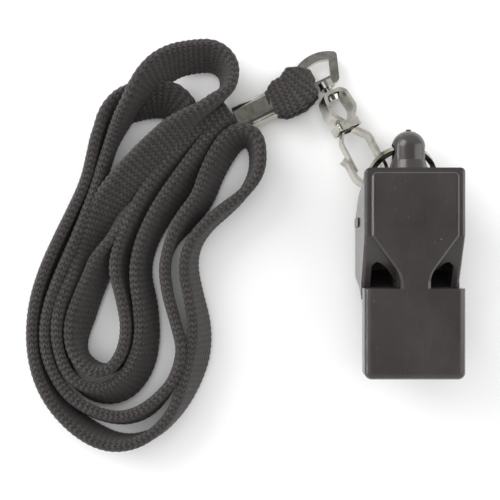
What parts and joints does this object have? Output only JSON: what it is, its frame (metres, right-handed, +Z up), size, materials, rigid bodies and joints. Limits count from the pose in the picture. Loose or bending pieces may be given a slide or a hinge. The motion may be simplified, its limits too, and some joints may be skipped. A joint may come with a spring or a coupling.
{
  "type": "training whistle",
  "caption": "Pealess whistle with a raised front plate, a split ring, a swivel spring hook and a flat knitted lanyard lying in a loose heap beside it.",
  "frame": {"origin": "middle of the flat on the whistle's belly, which it rests on", "axes": "+Y from the mouthpiece to the ring, +X across the whistle, +Z up through its front face"},
  "size_m": [0.1021, 0.0963, 0.019],
  "materials": {
    "body_plastic": "dark warm grey moulded plastic, semi-gloss",
    "cover_plastic": "dark warm grey moulded plastic, semi-gloss",
    "ring_steel": "nickel-plated spring steel, bright",
    "hook_nickel": "nickel-plated strip steel, bright with fine handling marks",
    "crimp_steel": "plated sheet steel, bright",
    "strap_knit": "dark grey knitted flat polyester braid, matt"
  },
  "bodies": {
    "whistle": {"whistle_body": "body_plastic", "rear_cover": "cover_plastic", "chamber_divider": "cover_plastic", "windway_insert": "cover_plastic"},
    "ring": {"split_ring": "ring_steel"},
    "hook": {"hook_strip": "hook_nickel", "hook_collar": "hook_nickel"},
    "gate": {"spring_gate": "hook_nickel"},
    "eye": {"swivel_eye": "hook_nickel", "swivel_stud": "hook_nickel"},
    "lanyard": {"crimp_ferrule": "crimp_steel", "strap_fold": "strap_knit", "lanyard_coil": "strap_knit"}
  },
  "joints": [
    {"name": "ring_swing", "type": "hinge", "parent": "whistle", "child": "ring", "pos_m": [0, 0.0218, 0.0097], "axis": [1, 0, 0], "range_deg": [0, 120]},
    {"name": "hook_swing", "type": "hinge", "parent": "ring", "child": "hook", "pos_m": [-0.0081, 0.01778, 0.00694], "axis": [-0.2292, -0.8022, -0.5513], "range_deg": [-12, 8]},
    {"name": "gate_open", "type": "hinge", "parent": "hook", "child": "gate", "pos_m": [-0.01505, 0.02653, 0.00614], "axis": [0.2172, 0.2576, 0.9415], "range_deg": [0, 12], "stiffness_Nm_per_rad": 0.02},
    {"name": "swivel", "type": "hinge", "parent": "hook", "child": "eye", "pos_m": [-0.0177, 0.0366, 0.004], "axis": [0.4396, -0.887, 0.1413], "continuous": true},
    {"name": "lanyard_swing", "type": "hinge", "parent": "eye", "child": "lanyard", "pos_m": [-0.02441, 0.03979, 0.00317], "axis": [0.4396, -0.887, 0.1413], "range_deg": [-8, 8]}
  ]
}
